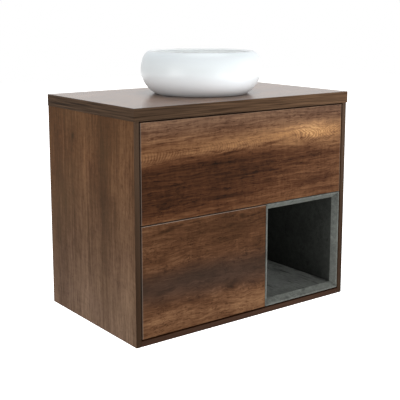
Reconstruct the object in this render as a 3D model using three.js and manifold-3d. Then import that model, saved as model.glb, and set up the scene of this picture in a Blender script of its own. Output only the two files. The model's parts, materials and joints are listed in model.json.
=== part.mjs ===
// A wall-hung bathroom vanity with two drawers, an open mitred niche, a worktop and a round vessel basin.
// Millimetres. X runs to the right, Y towards the wall, Z up. The wall is the plane Y = 0 and the cabinet's
// middle is X = 0. The pieces are built with Z = 0 at the cabinet's underside, and the whole group is then
// lowered so that the origin is the middle of the hanging rail's back face, where the cabinet meets the wall.

import * as THREE from 'three';
import { mergeVertices } from 'three/addons/utils/BufferGeometryUtils.js';
import Module from 'manifold-3d';

const wasm = await Module();
wasm.setup();

// ---- Driving dimensions ----

const cabinet = { width: 800, depth: 487, height: 628, board: 16 };
const fit = 0.3;                       // gap between pieces that touch
const reveal = 5;                      // gap between a front and the carcass, at the sides and below
const frontTopGap = 4;                 // gap between the upper front and the worktop
const frontThickness = 16;
const pushTravel = 3;                  // a closed front can be pressed in this far to release it
const frontClearance = pushTravel + 1; // room behind a front

const worktop = { thickness: 36, sideOverhang: 1.5, frontOverhang: 4, holeRadius: 24 };
const niche = { width: 311, height: 320.5, depth: 450, board: 19, land: 4, backThickness: 8 };
const gapAboveNiche = 2;
const lowerFrontTop = 340;
const gapLowerFrontNiche = 1.5;

const rail = { hangingHeight: 100, middleHeight: 80, lowerHeight: 80, frontDepth: 80 };
const basinCentre = { x: 0, y: -250 };
const basin = { footRadius: 143, widestRadius: 186.5, widestHeight: 70, rimRadius: 159.5, height: 131 };
const basinWall = 11.5;
const drainRadius = 23;
const drainSeat = { radius: 36, height: 14 };
const basinSeal = { innerRadius: 27, outerRadius: 44, thickness: 2.6 };

const drawer = { sideThickness: 12, bottomThickness: 8, rearGap: 47 };
const upperBox = { bottom: 358, height: 158, slideHeight: 440 };
const lowerBox = { bottom: 37, height: 208, slideHeight: 145 };
const recess = { width: 200, depth: 278, corner: 60, wall: 4 };
const slide = { length: 400, height: 45.4, thickness: 12.7, sheet: 1.2, frontGap: 5 };
const through = 1;                     // how far a cutting tool runs past the piece that it cuts

const trapCentreHeight = -172;         // outlet height, from the worktop's top
const hanger = { width: 20, depth: 40, height: 63, bottom: 560, railGap: 1, notchWidth: 60, notchHeight: 48 };
const hangerArm = { thickness: 3, overlap: 5, inset: 3, tipFront: -4.5, tipRear: -1.5, tipDrop: 17 };
const plate = {
  sheet: 2,
  standOff: 8,
  sideGap: 2,
  rise: 22,                            // from the hanger's underside to the plate's
  baseHeight: 20,
  lipHeight: 16,
  screwRadius: 3,
  screwHeight: 9,
};
const roundSegments = 48;
const smallSegments = 28;

// ---- Values worked out from them ----

const halfWidth = cabinet.width / 2;
const innerHalf = halfWidth - cabinet.board;
const frontBack = -cabinet.depth + frontThickness;
const insideFront = frontBack + frontClearance;
const worktopTop = cabinet.height + worktop.thickness;
const frontHalf = innerHalf - reveal;
const frontBottom = cabinet.board + reveal;
const nicheRight = frontHalf;
const nicheLeft = nicheRight - niche.width;
const nicheBottom = frontBottom;
const nicheTop = nicheBottom + niche.height;
const nicheBackFace = -cabinet.depth + niche.depth;
const upperFrontBottom = nicheTop + gapAboveNiche;
const partitionRight = nicheLeft - fit;
const partitionLeft = partitionRight - cabinet.board;
const originHeight = cabinet.height - rail.hangingHeight / 2;

// ---- Materials ----

function material(color, roughness, metalness) {
  return new THREE.MeshStandardMaterial({ color, roughness, metalness });
}

const materials = {
  oak: material(0x6b4a35, 0.6, 0),
  stone: material(0x75777a, 0.75, 0),
  ceramic: material(0xf4f6f7, 0.2, 0),
  boxBoard: material(0x8f8d88, 0.6, 0),
  steel: material(0xb4b7ba, 0.35, 1),
  chrome: material(0xd5d8da, 0.1, 1),
  plastic: material(0xe4e4e0, 0.45, 0),
  rubber: material(0x26282a, 0.8, 0),
};

// ---- Geometry helpers ----

// Merges a geometry's shared corners and drops the triangles that this flattens to a line.
function welded(geometry) {
  const bare = geometry.clone();
  bare.deleteAttribute('normal');
  bare.deleteAttribute('uv');
  const merged = mergeVertices(bare, 1e-4);
  const corners = merged.index.array;
  const kept = [];
  for (let i = 0; i < corners.length; i += 3) {
    const [a, b, c] = [corners[i], corners[i + 1], corners[i + 2]];
    if (a !== b && b !== c && c !== a) kept.push(a, b, c);
  }
  merged.setIndex(kept);
  return merged;
}

function solidOf(geometry) {
  const merged = welded(geometry);
  const mesh = new wasm.Mesh({
    numProp: 3,
    vertProperties: new Float32Array(merged.attributes.position.array),
    triVerts: new Uint32Array(merged.index.array),
  });
  return new wasm.Manifold(mesh);
}

function geometryOf(solid) {
  const mesh = solid.getMesh();
  const geometry = new THREE.BufferGeometry();
  geometry.setAttribute('position', new THREE.BufferAttribute(new Float32Array(mesh.vertProperties), 3));
  geometry.setIndex(Array.from(mesh.triVerts));
  geometry.computeVertexNormals();
  return geometry;
}

function joined(...geometries) {
  return geometryOf(geometries.map(solidOf).reduce((whole, next) => whole.add(next)));
}

function cut(geometry, ...tools) {
  return geometryOf(tools.map(solidOf).reduce((left, tool) => left.subtract(tool), solidOf(geometry)));
}

function common(geometry, other) {
  return geometryOf(solidOf(geometry).intersect(solidOf(other)));
}

// A rectangular block between two limits on each axis.
function block([x0, x1], [y0, y1], [z0, z1]) {
  const geometry = new THREE.BoxGeometry(x1 - x0, y1 - y0, z1 - z0);
  return geometry.translate((x0 + x1) / 2, (y0 + y1) / 2, (z0 + z1) / 2);
}

// A profile of [radius, height] points turned about a vertical axis. It starts and ends on the axis,
// or closes on itself.
function turned(points, segments = smallSegments) {
  let area = 0;
  points.forEach(([x0, y0], i) => {
    const [x1, y1] = points[(i + 1) % points.length];
    area += x0 * y1 - x1 * y0;
  });
  const ordered = area > 0 ? points : [...points].reverse();
  const profile = ordered.map(([x, y]) => new THREE.Vector2(x, y));
  return welded(new THREE.LatheGeometry(profile, segments)).rotateX(Math.PI / 2);
}

// A ring with a rectangular section.
function ring(innerRadius, outerRadius, bottom, top, segments = smallSegments) {
  const corners = [[innerRadius, bottom], [outerRadius, bottom], [outerRadius, top], [innerRadius, top]];
  return turned([...corners, corners[0]], segments);
}

function rod(radius, bottom, top, segments = smallSegments) {
  return turned([[0, bottom], [radius, bottom], [radius, top], [0, top]], segments);
}

// An outline of [x, z] points carried along Y between two limits.
function extrudedAlongY(points, y0, y1) {
  const shape = new THREE.Shape(points.map(([x, z]) => new THREE.Vector2(x, z)));
  const geometry = new THREE.ExtrudeGeometry(shape, { depth: y1 - y0, bevelEnabled: false });
  return geometry.rotateX(Math.PI / 2).translate(0, y1, 0);
}

// An outline of [y, z] points carried along X between two limits.
function extrudedAlongX(points, x0, x1) {
  const shape = new THREE.Shape(points.map(([y, z]) => new THREE.Vector2(y, z)));
  const geometry = new THREE.ExtrudeGeometry(shape, { depth: x1 - x0, bevelEnabled: false });
  return geometry.rotateX(Math.PI / 2).rotateZ(Math.PI / 2).translate(x0, 0, 0);
}

const vanity = new THREE.Group();

function place(name, geometry, look, offset = [0, 0, 0]) {
  const clean = welded(geometry);
  clean.computeVertexNormals();
  const mesh = new THREE.Mesh(clean, look);
  mesh.name = name;
  mesh.position.set(...offset);
  vanity.add(mesh);
}

// ---- Carcass ----

function buildCarcass() {
  const depth = [-cabinet.depth, 0];
  const height = [0, cabinet.height];
  const between = [-innerHalf + fit, innerHalf - fit];
  place('side_panel_left', block([-halfWidth, -innerHalf], depth, height), materials.oak);
  place('side_panel_right', block([innerHalf, halfWidth], depth, height), materials.oak);
  place('bottom_panel', block(between, depth, [0, cabinet.board]), materials.oak);

  const railTop = cabinet.height - fit;
  const frontRailDepth = [insideFront, insideFront + rail.frontDepth];
  const frontRail = block(between, frontRailDepth, [cabinet.height - cabinet.board, railTop]);
  place('front_rail', frontRail, materials.boxBoard);

  const railDepth = [-cabinet.board, 0];
  const lowerRailHeight = [cabinet.board + fit, cabinet.board + rail.lowerHeight];
  place('rear_lower_rail', block(between, railDepth, lowerRailHeight), materials.boxBoard);

  // The middle rail stands behind the gap between the two fronts and below the wall's pipes.
  const middleRailHeight = [upperFrontBottom - rail.middleHeight, upperFrontBottom];
  place('rear_middle_rail', block(between, railDepth, middleRailHeight), materials.boxBoard);

  place('rear_hanging_rail', hangingRail(between, railDepth, railTop), materials.boxBoard);

  const partitionDepth = [insideFront, -cabinet.board - fit];
  const partitionHeight = [cabinet.board + fit, nicheTop - fit];
  const partition = block([partitionLeft, partitionRight], partitionDepth, partitionHeight);
  place('partition', partition, materials.boxBoard);
}

// The hanging rail has a notch in each top corner for a hanger's hook and its wall plate.
function hangingRail(between, railDepth, railTop) {
  const board = block(between, railDepth, [cabinet.height - rail.hangingHeight, railTop]);
  const notchDepth = [-cabinet.board - through, through];
  const notchHeight = [cabinet.height - hanger.notchHeight, cabinet.height + through];
  const notchInner = innerHalf - hanger.notchWidth;
  const leftNotch = block([-innerHalf - through, -notchInner], notchDepth, notchHeight);
  const rightNotch = block([notchInner, innerHalf + through], notchDepth, notchHeight);
  return cut(board, leftNotch, rightNotch);
}

// ---- Niche: four boards mitred along their whole length, with a bevel round the front opening ----

function buildNiche() {
  const outerX = [nicheLeft, nicheRight];
  const outerZ = [nicheBottom, nicheTop];
  const tube = nicheTube(outerX, outerZ);
  const sides = [
    ['niche_floor', [nicheLeft, nicheBottom], [nicheRight, nicheBottom], [0, 1]],
    ['niche_wall_right', [nicheRight, nicheBottom], [nicheRight, nicheTop], [-1, 0]],
    ['niche_ceiling', [nicheRight, nicheTop], [nicheLeft, nicheTop], [0, -1]],
    ['niche_wall_left', [nicheLeft, nicheTop], [nicheLeft, nicheBottom], [1, 0]],
  ];
  for (const [name, start, end, inward] of sides) {
    place(name, common(tube, mitreWedge(start, end, inward)), materials.stone);
  }
  const backDepth = [nicheBackFace + fit, nicheBackFace + fit + niche.backThickness];
  place('niche_back', block(outerX, backDepth, outerZ), materials.stone);

  const packerDepth = [insideFront, nicheBackFace];
  const below = [cabinet.board + fit, nicheBottom - fit];
  const beside = [nicheRight + fit, innerHalf - fit];
  place('niche_packer_below', block(outerX, packerDepth, below), materials.boxBoard);
  place('niche_packer_side', block(beside, packerDepth, outerZ), materials.boxBoard);
}

// The niche's four walls as one piece, with the bevel cut round its front opening.
function nicheTube([x0, x1], [z0, z1]) {
  const depth = [-cabinet.depth, nicheBackFace];
  const hollow = block(
    [x0 + niche.board, x1 - niche.board],
    [depth[0] - through, depth[1] + through],
    [z0 + niche.board, z1 - niche.board],
  );
  return cut(block([x0, x1], depth, [z0, z1]), hollow, bevelCutter([x0, x1], [z0, z1]));
}

// A four-sided frustum that widens towards the front at 45 degrees.
function bevelCutter([x0, x1], [z0, z1]) {
  const bevel = niche.board - niche.land;
  const reach = 5;                     // how far the frustum runs past each end of the bevel
  const section = (grow, y) => [
    [x0 + niche.board - grow, y, z0 + niche.board - grow],
    [x1 - niche.board + grow, y, z0 + niche.board - grow],
    [x1 - niche.board + grow, y, z1 - niche.board + grow],
    [x0 + niche.board - grow, y, z1 - niche.board + grow],
  ];
  const front = section(bevel + reach, -cabinet.depth - reach);
  const rear = section(-reach, -cabinet.depth + bevel + reach);
  const geometry = new THREE.BufferGeometry();
  geometry.setAttribute('position', new THREE.Float32BufferAttribute([...front, ...rear].flat(), 3));
  const faces = [[0, 1, 2, 3], [7, 6, 5, 4], [0, 4, 5, 1], [1, 5, 6, 2], [2, 6, 7, 3], [3, 7, 4, 0]];
  geometry.setIndex(faces.flatMap(([a, b, c, d]) => [a, b, c, a, c, d]));
  return geometry;
}

// The space of one niche board: a trapezium whose ends are the 45-degree mitre planes.
function mitreWedge(start, end, [inX, inZ]) {
  const thickness = niche.board + through;
  const length = Math.hypot(end[0] - start[0], end[1] - start[1]);
  const along = [(end[0] - start[0]) / length, (end[1] - start[1]) / length];
  const corner = (from, run, rise) => [
    from[0] + along[0] * run + inX * rise,
    from[1] + along[1] * run + inZ * rise,
  ];
  const outline = [
    corner(start, fit, 0),
    corner(end, -fit, 0),
    corner(end, -fit - thickness, thickness),
    corner(start, fit + thickness, thickness),
  ];
  return extrudedAlongY(outline, -cabinet.depth - through, nicheBackFace + through);
}

// ---- Worktop and basin ----

function buildWorktop() {
  const reachX = halfWidth + worktop.sideOverhang;
  const slabDepth = [-cabinet.depth - worktop.frontOverhang, 0];
  const slab = block([-reachX, reachX], slabDepth, [cabinet.height + fit, worktopTop]);
  const hole = rod(worktop.holeRadius, cabinet.height - through, worktopTop + through);
  hole.translate(basinCentre.x, basinCentre.y, 0);
  place('worktop', cut(slab, hole), materials.oak);
}

// Points along a cubic curve, without its first point.
function curvePoints(start, pull1, pull2, end, steps) {
  const vectors = [start, pull1, pull2, end].map(([x, y]) => new THREE.Vector2(x, y));
  const curve = new THREE.CubicBezierCurve(...vectors);
  return curve.getPoints(steps).slice(1).map(({ x, y }) => [x, y]);
}

// The basin's section: outside from the foot up to the rim, over it, and down the inside to the drain.
function basinProfile() {
  const { footRadius, widestRadius, widestHeight, rimRadius, height } = basin;
  const rimHalf = 6.2;
  const footRing = { width: 22, chamfer: 2, height: 3 };
  const floorHeight = 17;
  const seatSlope = { width: 2, top: floorHeight - 1.5 };
  const innerWidest = widestRadius - basinWall;
  const foot = [footRadius, 0];
  const widest = [widestRadius, widestHeight];
  const outerRim = [rimRadius + rimHalf, height - 3];
  const innerRim = [rimRadius - rimHalf, height - 6];
  const innerWidestPoint = [innerWidest, widestHeight + 2];
  const floorEdge = [100, floorHeight + 1];
  const pulls = {
    belly: [[166, 13], [widestRadius, 42]],
    shoulder: [[widestRadius, 96], [180, 119]],
    rim: [[162.5, height], [156.5, height + 0.6]],
    throat: [[163.5, 117], [innerWidest, 96]],
    bowl: [[innerWidest, 38], [152, 21]],
  };
  const steps = { belly: 9, shoulder: 7, rim: 4, throat: 6, bowl: 7 };
  return [
    [drainRadius, footRing.height],
    [footRadius - footRing.width, footRing.height],
    [footRadius - footRing.width + footRing.chamfer, 0],
    foot,
    ...curvePoints(foot, ...pulls.belly, widest, steps.belly),
    ...curvePoints(widest, ...pulls.shoulder, outerRim, steps.shoulder),
    ...curvePoints(outerRim, ...pulls.rim, innerRim, steps.rim),
    ...curvePoints(innerRim, ...pulls.throat, innerWidestPoint, steps.throat),
    ...curvePoints(innerWidestPoint, ...pulls.bowl, floorEdge, steps.bowl),
    [drainSeat.radius + seatSlope.width, seatSlope.top],
    [drainSeat.radius, drainSeat.height],
    [drainRadius, drainSeat.height],
    [drainRadius, footRing.height],
  ];
}

function buildBasin() {
  const standing = [basinCentre.x, basinCentre.y, worktopTop + fit];
  place('basin', turned(basinProfile(), roundSegments), materials.ceramic, standing);
  const seal = ring(basinSeal.innerRadius, basinSeal.outerRadius, 0, basinSeal.thickness);
  place('basin_seal', seal, materials.rubber, standing);
}

// ---- Waste and bottle trap. Heights are from the worktop's top. ----

function placeAtDrain(name, geometry, look) {
  place(name, geometry, look, [basinCentre.x, basinCentre.y, worktopTop]);
}

const wasteTube = { outer: 21.5, inner: 18, bottom: -78 };
const wasteFlange = { radius: 33, bottom: 16.8, top: 19, outerChamfer: 2, innerChamfer: 2 };
const spider = { bottom: -14, top: -10, armHalf: 2.5, hubRadius: 7, stemHole: 4.6 };
const plugCap = { stemRadius: 4, stemBottom: -24, radius: 31.5 };
const upperWasher = { innerRadius: 24, outerRadius: 31 };
const lowerWasher = { innerRadius: 22, outerRadius: 34, thickness: 3 };
const wasteNut = { holeRadius: 22, acrossCorners: 32, thickness: 9 };

function buildWaste() {
  placeAtDrain('waste_body', wasteBody(), materials.chrome);
  placeAtDrain('waste_plug', wastePlug(), materials.chrome);

  const upperBottom = drainSeat.height + 2 * fit;
  const upper = ring(upperWasher.innerRadius, upperWasher.outerRadius, upperBottom, wasteFlange.bottom - fit);
  placeAtDrain('waste_washer_upper', upper, materials.rubber);

  const underTop = -worktop.thickness - fit;
  const washerBottom = underTop - lowerWasher.thickness;
  const lower = ring(lowerWasher.innerRadius, lowerWasher.outerRadius, washerBottom, underTop + fit / 2);
  placeAtDrain('waste_washer_lower', lower, materials.rubber);
  const nutTop = washerBottom - fit;
  const nutBottom = washerBottom - wasteNut.thickness;
  const nut = hexNut(wasteNut.holeRadius, wasteNut.acrossCorners, nutBottom, nutTop);
  placeAtDrain('waste_nut', nut, materials.plastic);
}

// A flanged tube with a four-armed spider inside, whose hub guides the plug's stem.
function wasteBody() {
  const { inner, outer, bottom } = wasteTube;
  const body = turned([
    [inner, bottom],
    [outer, bottom],
    [outer, wasteFlange.bottom],
    [wasteFlange.radius, wasteFlange.bottom],
    [wasteFlange.radius, wasteFlange.top - wasteFlange.outerChamfer / 2],
    [wasteFlange.radius - wasteFlange.outerChamfer, wasteFlange.top],
    [inner + wasteFlange.innerChamfer, wasteFlange.top],
    [inner, wasteFlange.top - wasteFlange.innerChamfer],
    [inner, bottom],
  ]);
  const height = [spider.bottom, spider.top];
  const across = [-spider.armHalf, spider.armHalf];
  const armReach = (inner + outer) / 2;
  const armX = block([-armReach, armReach], across, height);
  const armY = block(across, [-armReach, armReach], height);
  const hub = rod(spider.hubRadius, ...height);
  const stemHole = rod(spider.stemHole, spider.bottom - through, spider.top + through);
  return cut(joined(body, armX, armY, hub), stemHole);
}

// A stem with a domed cap, given as heights above the cap's underside.
function wastePlug() {
  const underside = wasteFlange.top + fit;
  const dome = [[31, 0], [plugCap.radius, 2], [29, 4], [20, 5.6], [10, 6.3], [0, 6.5]];
  return turned([
    [0, plugCap.stemBottom],
    [plugCap.stemRadius, plugCap.stemBottom],
    [plugCap.stemRadius, underside],
    ...dome.map(([radius, rise]) => [radius, underside + rise]),
  ]);
}

function hexNut(holeRadius, acrossCorners, bottom, top) {
  return cut(rod(acrossCorners, bottom, top, 6), rod(holeRadius, bottom - through, top + through));
}

// The trap is a bottle: a head with the inlet, a dip tube and the outlet, and a cup screwed on below it.
const bottle = { radius: 34, wall: 3, chamfer: 3, top: -150, bottom: -205, cupBottom: -258 };
const pipe = { outer: 16, inner: 14, insideStub: 20 };
const dipTube = { above: 8, below: 30 }; // how far it runs past the waste's lower end and the bottle's rim
const outletStub = { outer: 19, end: 62, boreSlack: 0.3, boreStart: 3 };
const inletNut = { radius: 28, up: 12, down: 10, shelf: 5, pipeSlack: 0.5, wasteSlack: 0.4 };
const outletNut = { radius: 24, past: 6, back: 14, shelf: 2 };
const cup = { flare: 3, threadHeight: 10, collarDrop: 2, floor: 3, footInset: 8, footRise: 6 };
const rosette = { innerRadius: 20, outerRadius: 32, depth: 8, rim: 2 };

// A ring or tube turned about the outlet's axis. Distances run from the bottle's middle to the wall.
function alongOutlet(geometry) {
  return geometry.rotateX(-Math.PI / 2).translate(0, 0, trapCentreHeight);
}

function buildTrap() {
  placeAtDrain('trap_inlet_nut', trapInletNut(), materials.chrome);
  placeAtDrain('trap_body', trapBody(), materials.chrome);
  placeAtDrain('trap_cup', trapCup(), materials.chrome);
  placeAtDrain('trap_outlet_nut', alongOutlet(trapOutletNut()), materials.chrome);

  const wallDistance = -basinCentre.y;
  const tube = ring(pipe.inner, pipe.outer, outletStub.end - pipe.insideStub, wallDistance - fit);
  placeAtDrain('trap_outlet_pipe', alongOutlet(tube), materials.chrome);
  placeAtDrain('wall_rosette', alongOutlet(wallRosette(wallDistance)), materials.chrome);
}

function trapInletNut() {
  const bottom = wasteTube.bottom - inletNut.down;
  const top = wasteTube.bottom + inletNut.up;
  const shelf = wasteTube.bottom - inletNut.shelf;
  const pipeHole = pipe.outer + inletNut.pipeSlack;
  const wasteHole = wasteTube.outer + inletNut.wasteSlack;
  return turned([
    [pipeHole, bottom],
    [inletNut.radius, bottom],
    [inletNut.radius, top],
    [wasteHole, top],
    [wasteHole, shelf],
    [pipeHole, shelf],
    [pipeHole, bottom],
  ]);
}

// The bottle's head with its dip tube, and the outlet stub, whose inner end is cut back to the wall.
function trapBody() {
  const innerRadius = bottle.radius - bottle.wall;
  const tubeTop = wasteTube.bottom + dipTube.above;
  const tubeBottom = bottle.bottom - dipTube.below;
  const head = turned([
    [pipe.inner, tubeBottom],
    [pipe.outer, tubeBottom],
    [pipe.outer, bottle.top - bottle.wall],
    [innerRadius, bottle.top - bottle.wall],
    [innerRadius, bottle.bottom],
    [bottle.radius, bottle.bottom],
    [bottle.radius, bottle.top - bottle.chamfer],
    [bottle.radius - bottle.chamfer, bottle.top],
    [pipe.outer, bottle.top],
    [pipe.outer, tubeTop],
    [pipe.inner, tubeTop],
    [pipe.inner, tubeBottom],
  ]);
  const stub = alongOutlet(rod(outletStub.outer, innerRadius - through, outletStub.end));
  const inside = rod(innerRadius, bottle.bottom - through, bottle.top + through);
  const boreStart = pipe.outer + outletStub.boreStart;
  const bore = alongOutlet(rod(pipe.outer + outletStub.boreSlack, boreStart, outletStub.end + through));
  return cut(joined(head, cut(stub, inside)), bore);
}

// The cup screws on over the head's lower edge.
function trapCup() {
  const innerRadius = bottle.radius - bottle.wall;
  const threadRadius = bottle.radius + fit;
  const collarRadius = bottle.radius + cup.flare;
  const floorTop = bottle.cupBottom + cup.floor;
  return turned([
    [0, bottle.cupBottom],
    [bottle.radius - cup.footInset, bottle.cupBottom],
    [bottle.radius - 2, bottle.cupBottom + cup.footRise],
    [bottle.radius - 1, bottle.bottom - cup.collarDrop - 1],
    [collarRadius, bottle.bottom - cup.collarDrop],
    [collarRadius, bottle.bottom + cup.threadHeight],
    [threadRadius, bottle.bottom + cup.threadHeight],
    [threadRadius, bottle.bottom - fit],
    [innerRadius, bottle.bottom - fit],
    [innerRadius - 1, floorTop + 5],
    [innerRadius - 7, floorTop],
    [0, floorTop],
  ]);
}

function trapOutletNut() {
  const end = outletStub.end;
  return turned([
    [pipe.outer + fit, end + outletNut.past],
    [outletNut.radius, end + outletNut.past],
    [outletNut.radius, end - outletNut.back],
    [outletStub.outer + fit, end - outletNut.back],
    [outletStub.outer + fit, end + outletNut.shelf],
    [pipe.outer + fit, end + outletNut.shelf],
    [pipe.outer + fit, end + outletNut.past],
  ]);
}

function wallRosette(wallDistance) {
  return turned([
    [pipe.outer + fit, wallDistance - rosette.depth],
    [rosette.innerRadius, wallDistance - rosette.depth],
    [rosette.outerRadius, wallDistance - rosette.rim],
    [rosette.outerRadius, wallDistance - fit],
    [pipe.outer + fit, wallDistance - fit],
    [pipe.outer + fit, wallDistance - rosette.depth],
  ]);
}

// ---- Drawers ----

function drawerOutline(left, right) {
  return {
    x: [left + slide.thickness + fit, right - slide.thickness - fit],
    y: [frontBack + fit, -drawer.rearGap],
  };
}

function placeDrawerSides(prefix, { x, y }, box) {
  const height = [box.bottom + drawer.bottomThickness + fit, box.bottom + box.height];
  const leftSide = block([x[0], x[0] + drawer.sideThickness], y, height);
  const rightSide = block([x[1] - drawer.sideThickness, x[1]], y, height);
  place(`${prefix}_side_left`, leftSide, materials.boxBoard);
  place(`${prefix}_side_right`, rightSide, materials.boxBoard);
  return height;
}

function buildUpperDrawer() {
  const frontX = [-frontHalf, frontHalf];
  const frontZ = [upperFrontBottom, cabinet.height - frontTopGap];
  place('upper_front', block(frontX, [-cabinet.depth, frontBack], frontZ), materials.oak);

  const outline = drawerOutline(-innerHalf, innerHalf);
  const height = placeDrawerSides('upper', outline, upperBox);
  const inset = drawer.sideThickness + fit;
  const backDepth = [outline.y[1] - drawer.sideThickness, outline.y[1]];
  const recessOuter = recess.width / 2 + recess.wall + fit;
  const leftBack = block([outline.x[0] + inset, -recessOuter], backDepth, height);
  const rightBack = block([recessOuter, outline.x[1] - inset], backDepth, height);
  place('upper_back_left', leftBack, materials.boxBoard);
  place('upper_back_right', rightBack, materials.boxBoard);

  const recessRear = outline.y[1];
  const bottomHeight = [upperBox.bottom, upperBox.bottom + drawer.bottomThickness];
  const clearRear = recessRear + through;
  const cutterHeight = [bottomHeight[0] - through, bottomHeight[1] + through];
  const cutter = extrudedUp(recessShape(0, recessRear, clearRear), ...cutterHeight);
  const bottomBoard = block(outline.x, [outline.y[0], recessRear], bottomHeight);
  place('upper_bottom', cut(bottomBoard, cutter), materials.boxBoard);

  const outer = extrudedUp(recessShape(recess.wall, recessRear, recessRear), ...height);
  const innerHeight = [height[0] - through, height[1] + through];
  const inner = extrudedUp(recessShape(0, recessRear, clearRear), ...innerHeight);
  place('trap_recess', cut(outer, inner), materials.plastic);
}

// A U in plan, open to the rear, with round front corners. It is grown outwards by a wall's thickness.
function recessShape(grow, rear, openEnd) {
  const half = recess.width / 2 + grow;
  const front = rear - recess.depth - grow;
  const radius = recess.corner + grow;
  const shape = new THREE.Shape();
  shape.moveTo(-half, openEnd);
  shape.lineTo(-half, front + radius);
  shape.absarc(-half + radius, front + radius, radius, Math.PI, 1.5 * Math.PI, false);
  shape.lineTo(half - radius, front);
  shape.absarc(half - radius, front + radius, radius, 1.5 * Math.PI, 2 * Math.PI, false);
  shape.lineTo(half, openEnd);
  return shape;
}

function extrudedUp(shape, bottom, top) {
  const geometry = new THREE.ExtrudeGeometry(shape, {
    depth: top - bottom,
    bevelEnabled: false,
    curveSegments: 8,
  });
  return geometry.translate(0, 0, bottom);
}

function buildLowerDrawer() {
  const frontX = [-frontHalf, nicheLeft - gapLowerFrontNiche];
  const front = block(frontX, [-cabinet.depth, frontBack], [frontBottom, lowerFrontTop]);
  place('lower_front', front, materials.oak);

  const outline = drawerOutline(-innerHalf, partitionLeft);
  const height = placeDrawerSides('lower', outline, lowerBox);
  const inset = drawer.sideThickness + fit;
  const backDepth = [outline.y[1] - drawer.sideThickness, outline.y[1]];
  const back = block([outline.x[0] + inset, outline.x[1] - inset], backDepth, height);
  place('lower_back', back, materials.boxBoard);
  const bottomHeight = [lowerBox.bottom, lowerBox.bottom + drawer.bottomThickness];
  place('lower_bottom', block(outline.x, outline.y, bottomHeight), materials.boxBoard);
}

// ---- Ball-bearing slides ----

// A C of sheet metal: a web at one depth, with a flange at its top and bottom. Depth runs from the cabinet
// wall at 0 to the drawer's side, and turn is -1 for a slide on the right.
function slideSection(web, flangeEnd, halfHeight, turn, wallX, middleZ) {
  const webInner = web + slide.sheet * Math.sign(flangeEnd - web);
  const lip = halfHeight - slide.sheet;
  const outline = [
    [web, -halfHeight],
    [flangeEnd, -halfHeight],
    [flangeEnd, -lip],
    [webInner, -lip],
    [webInner, lip],
    [flangeEnd, lip],
    [flangeEnd, halfHeight],
    [web, halfHeight],
  ];
  return outline.map(([depth, z]) => [wallX + turn * depth, middleZ + z]);
}

function buildSlide(name, wallX, turn, middleZ) {
  const front = frontBack + slide.frontGap;
  const rear = front + slide.length;
  const half = slide.height / 2;
  // Each member's web and flange end as depths from the wall, and half its height.
  const members = [
    ['cabinet', fit, 9, half],
    ['middle', 2.6, 10.4, half - 4],
    ['drawer', slide.thickness, 5.6, half - 8.5],
  ];
  for (const [member, web, flangeEnd, halfHeight] of members) {
    const section = slideSection(web, flangeEnd, halfHeight, turn, wallX, middleZ);
    place(`${name}_${member}`, extrudedAlongY(section, front, rear), materials.steel);
  }
}

function buildSlides() {
  buildSlide('slide_upper_left', -innerHalf, 1, upperBox.slideHeight);
  buildSlide('slide_upper_right', innerHalf, -1, upperBox.slideHeight);
  buildSlide('slide_lower_left', -innerHalf, 1, lowerBox.slideHeight);
  buildSlide('slide_lower_right', partitionLeft, -1, lowerBox.slideHeight);
}

// ---- Hangers and wall plates ----

// A Z of sheet steel. Its lower half is screwed to the wall and its upper lip stands off it.
function wallPlate(x0, x1) {
  const { sheet, standOff, rise, baseHeight, lipHeight, screwRadius, screwHeight } = plate;
  const base = hanger.bottom + rise;
  const step = base + baseHeight;
  const outline = [
    [0, base],
    [0, step],
    [-standOff + sheet, step],
    [-standOff + sheet, step + lipHeight],
    [-standOff, step + lipHeight],
    [-standOff, step - sheet],
    [-sheet, step - sheet],
    [-sheet, base],
  ];
  const holes = [0.25, 0.75].map((share) => {
    const hole = rod(screwRadius, -through, sheet + through, 12).rotateX(Math.PI / 2);
    return hole.translate(x0 + (x1 - x0) * share, 0, base + screwHeight);
  });
  return cut(extrudedAlongX(outline, x0, x1), ...holes);
}

// A box on the side panel, with an arm through the rail's notch and a tip that drops behind the plate's lip.
function hangerBody(x0, x1) {
  const { thickness, overlap, inset, tipFront, tipRear, tipDrop } = hangerArm;
  const top = hanger.bottom + hanger.height;
  const boxRear = -cabinet.board - hanger.railGap;
  const box = block([x0, x1], [boxRear - hanger.depth, boxRear], [hanger.bottom, top]);
  const outline = [
    [boxRear - overlap, top - thickness],
    [tipFront, top - thickness],
    [tipFront, top - tipDrop],
    [tipRear, top - tipDrop],
    [tipRear, top],
    [boxRear - overlap, top],
  ];
  return joined(box, extrudedAlongX(outline, x0 + inset, x1 - inset));
}

function buildHangers() {
  const boxOuter = innerHalf - fit;
  const boxInner = boxOuter - hanger.width;
  const plateOuter = innerHalf - plate.sideGap;
  const plateInner = innerHalf - hanger.notchWidth + plate.sideGap;
  place('hanger_left', hangerBody(-boxOuter, -boxInner), materials.steel);
  place('hanger_right', hangerBody(boxInner, boxOuter), materials.steel);
  place('wall_plate_left', wallPlate(-plateOuter, -plateInner), materials.steel);
  place('wall_plate_right', wallPlate(plateInner, plateOuter), materials.steel);
}

buildCarcass();
buildNiche();
buildWorktop();
buildBasin();
buildWaste();
buildTrap();
buildUpperDrawer();
buildLowerDrawer();
buildSlides();
buildHangers();

vanity.position.z = -originHeight;
export default vanity;
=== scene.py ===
"""A wall-hung vanity with two drawers, an open stone-look niche and a round vessel basin.

The CAD frame gives every piece its place and size. This script adds the materials, softer edges, a
finely turned basin in place of the faceted one, the studio and the camera. Metres, Z up, X to the
right and Y towards the wall.
"""

import json
import math

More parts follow.
